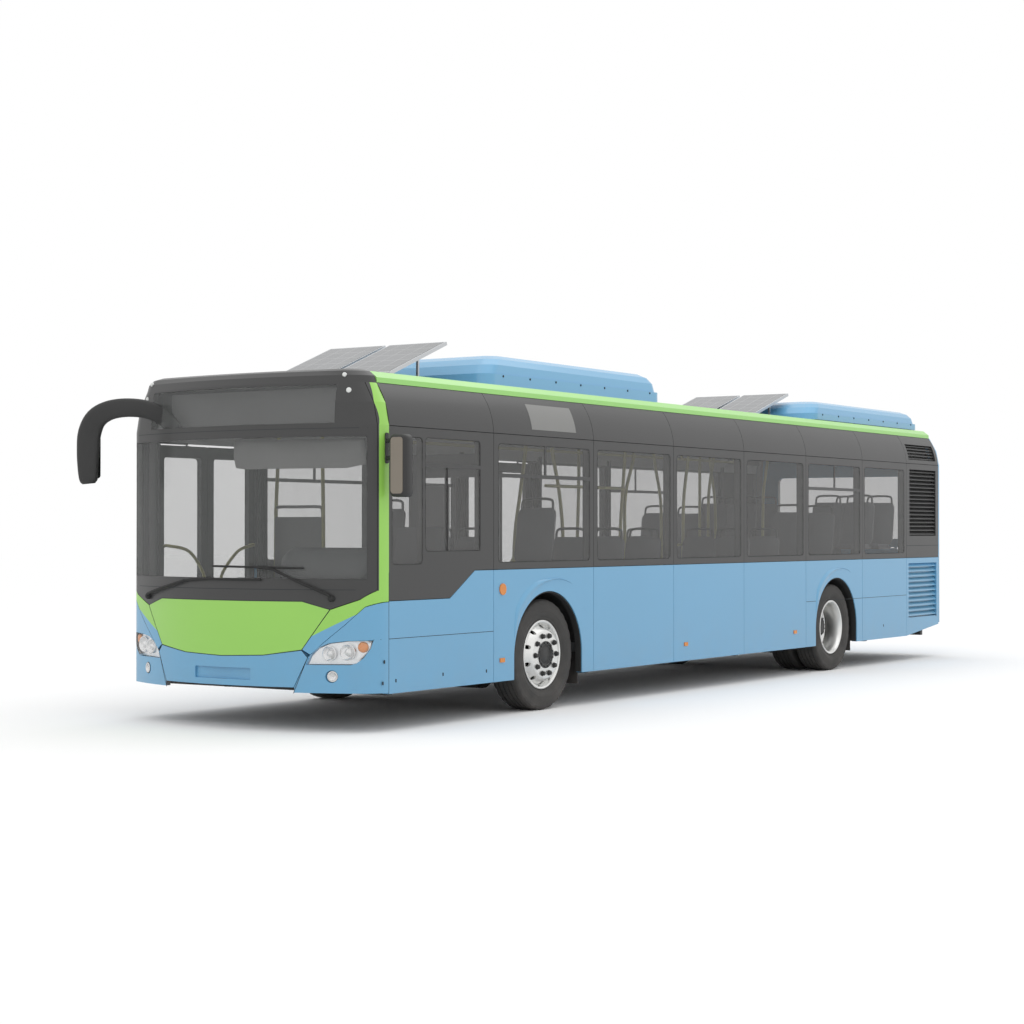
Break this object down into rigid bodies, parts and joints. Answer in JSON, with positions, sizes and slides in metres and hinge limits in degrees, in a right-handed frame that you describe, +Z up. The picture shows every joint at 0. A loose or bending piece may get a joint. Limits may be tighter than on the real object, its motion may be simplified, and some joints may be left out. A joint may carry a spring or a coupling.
{
  "type": "city bus",
  "caption": "Rigid two-axle low-floor city bus with a flush black window band, double inward-gliding doors, roof pods and tilted solar panels.",
  "frame": {"origin": "on the ground, centred between the rear panel and the foremost mirror and between the outermost mirror faces", "axes": "+X forwards, +Y to the bus's left, +Z up"},
  "size_m": [12.185, 2.958, 3.1669],
  "materials": {
    "blue_paint": "glossy",
    "green_paint": "glossy",
    "black_gloss": "glossy",
    "black_plastic": "fine grain",
    "tinted_glass": "clear, tinted",
    "clear_glass": "clear",
    "lamp_unit": "clear cover over bright reflectors",
    "signal_lens": "ribbed lens",
    "white_shell": "satin",
    "solar_cells": "glossy with aluminium frames",
    "black_frame": "satin",
    "engine_cast": "as cast",
    "floor_vinyl": "flecked, slip resistant",
    "cab_plastic": "grained",
    "seat_fabric": "flat weave",
    "yellow_rail": "powder coated",
    "mirror_housing": "fine grain",
    "tyre_rubber": "ribbed tread",
    "polished_rim": "machined"
  },
  "bodies": {
    "bus": {"front_hood": "green_paint", "front_bumper": "blue_paint", "front_corners": "blue_paint", "headlamps": "lamp_unit", "front_pillars": "green_paint", "front_mask": "black_gloss", "windscreen": "clear_glass", "left_lower_panels": "blue_paint", "right_lower_panels": "blue_paint", "left_window_band": "black_gloss", "right_window_band": "black_gloss", "rear_wall": "blue_paint", "signal_lamps": "signal_lens", "window_glass": "tinted_glass", "roof_rails": "green_paint", "roof_skin": "white_shell", "roof_hatch": "white_shell", "body_posts": "black_frame", "roof_pods": "blue_paint", "solar_arrays": "solar_cells", "front_axle": "black_frame", "rear_axle": "black_frame", "underframe": "black_frame", "floor_deck": "floor_vinyl", "wheel_boxes": "floor_vinyl", "engine_block": "engine_cast", "dashboard": "cab_plastic", "driver_seat": "seat_fabric", "cab_partition": "cab_plastic", "passenger_seats": "seat_fabric", "handrails": "yellow_rail", "mirrors": "mirror_housing", "wipers": "black_plastic"},
    "left_knuckle": {"left_knuckle": "black_frame"},
    "right_knuckle": {"right_knuckle": "black_frame"},
    "track_rod": {"track_rod": "black_frame"},
    "front_left_wheel": {"front_left_rim": "polished_rim", "front_left_tyre": "tyre_rubber"},
    "front_right_wheel": {"front_right_rim": "polished_rim", "front_right_tyre": "tyre_rubber"},
    "rear_left_wheels": {"rear_left_rims": "polished_rim", "rear_left_tyres": "tyre_rubber"},
    "rear_right_wheels": {"rear_right_rims": "polished_rim", "rear_right_tyres": "tyre_rubber"},
    "engine_lid": {"engine_lid": "blue_paint"},
    "front_door_front_arm": {"front_door_front_arm": "black_frame"},
    "front_door_front_leaf": {"front_door_front_leaf": "black_gloss", "front_door_front_glass": "tinted_glass"},
    "front_door_rear_arm": {"front_door_rear_arm": "black_frame"},
    "front_door_rear_leaf": {"front_door_rear_leaf": "black_gloss", "front_door_rear_glass": "tinted_glass"},
    "middle_door_front_arm": {"middle_door_front_arm": "black_frame"},
    "middle_door_front_leaf": {"middle_door_front_leaf": "black_gloss", "middle_door_front_glass": "tinted_glass"},
    "middle_door_rear_arm": {"middle_door_rear_arm": "black_frame"},
    "middle_door_rear_leaf": {"middle_door_rear_leaf": "black_gloss", "middle_door_rear_glass": "tinted_glass"}
  },
  "joints": [
    {"name": "left_steer", "type": "hinge", "parent": "bus", "child": "left_knuckle", "pos_m": [3.11, 0.9, 0.4785], "axis": [0, 0, 1], "range_deg": [-42, 42]},
    {"name": "right_steer", "type": "hinge", "parent": "bus", "child": "right_knuckle", "pos_m": [3.11, -0.9, 0.4785], "axis": [0, 0, 1], "range_deg": [-42, 42]},
    {"name": "track_rod_pivot", "type": "hinge", "parent": "left_knuckle", "child": "track_rod", "pos_m": [2.91, 0.9, 0.28], "axis": [0, 0, 1], "range_deg": [-42, 42]},
    {"name": "front_left_spin", "type": "hinge", "parent": "left_knuckle", "child": "front_left_wheel", "pos_m": [3.11, 1.092, 0.4785], "axis": [0, 1, 0], "continuous": true},
    {"name": "front_right_spin", "type": "hinge", "parent": "right_knuckle", "child": "front_right_wheel", "pos_m": [3.11, -1.092, 0.4785], "axis": [0, 1, 0], "continuous": true},
    {"name": "rear_left_spin", "type": "hinge", "parent": "bus", "child": "rear_left_wheels", "pos_m": [-2.9, 0.9365, 0.4785], "axis": [0, 1, 0], "continuous": true},
    {"name": "rear_right_spin", "type": "hinge", "parent": "bus", "child": "rear_right_wheels", "pos_m": [-2.9, -0.9365, 0.4785], "axis": [0, 1, 0], "continuous": true},
    {"name": "engine_lid_hinge", "type": "hinge", "parent": "bus", "child": "engine_lid", "pos_m": [-6.094, 0, 1.327], "axis": [0, 1, 0], "range_deg": [0, 85]},
    {"name": "front_door_front_arm_turn", "type": "hinge", "parent": "bus", "child": "front_door_front_arm", "pos_m": [5.334, -1.193, 1.3], "axis": [0, 0, -1], "range_deg": [0, 90]},
    {"name": "front_door_front_leaf_turn", "type": "hinge", "parent": "front_door_front_arm", "child": "front_door_front_leaf", "pos_m": [4.9885, -1.193, 1.3], "axis": [0, 0, -1], "range_deg": [-180, 0]},
    {"name": "front_door_rear_arm_turn", "type": "hinge", "parent": "bus", "child": "front_door_rear_arm", "pos_m": [4.018, -1.193, 1.3], "axis": [0, 0, 1], "range_deg": [0, 90]},
    {"name": "front_door_rear_leaf_turn", "type": "hinge", "parent": "front_door_rear_arm", "child": "front_door_rear_leaf", "pos_m": [4.3635, -1.193, 1.3], "axis": [0, 0, 1], "range_deg": [-180, 0]},
    {"name": "middle_door_front_arm_turn", "type": "hinge", "parent": "bus", "child": "middle_door_front_arm", "pos_m": [0.783, -1.193, 1.3], "axis": [0, 0, -1], "range_deg": [0, 90]},
    {"name": "middle_door_front_leaf_turn", "type": "hinge", "parent": "middle_door_front_arm", "child": "middle_door_front_leaf", "pos_m": [0.4375, -1.193, 1.3], "axis": [0, 0, -1], "range_deg": [-180, 0]},
    {"name": "middle_door_rear_arm_turn", "type": "hinge", "parent": "bus", "child": "middle_door_rear_arm", "pos_m": [-0.533, -1.193, 1.3], "axis": [0, 0, 1], "range_deg": [0, 90]},
    {"name": "middle_door_rear_leaf_turn", "type": "hinge", "parent": "middle_door_rear_arm", "child": "middle_door_rear_leaf", "pos_m": [-0.1875, -1.193, 1.3], "axis": [0, 0, 1], "range_deg": [-180, 0]}
  ],
  "couplings": [
    {"joint": "right_steer", "follows": "left_steer", "ratio": 1},
    {"joint": "track_rod_pivot", "follows": "left_steer", "ratio": -1},
    {"joint": "front_door_front_leaf_turn", "follows": "front_door_front_arm_turn", "ratio": -2},
    {"joint": "front_door_rear_leaf_turn", "follows": "front_door_rear_arm_turn", "ratio": -2},
    {"joint": "middle_door_front_leaf_turn", "follows": "middle_door_front_arm_turn", "ratio": -2},
    {"joint": "middle_door_rear_leaf_turn", "follows": "middle_door_rear_arm_turn", "ratio": -2}
  ]
}
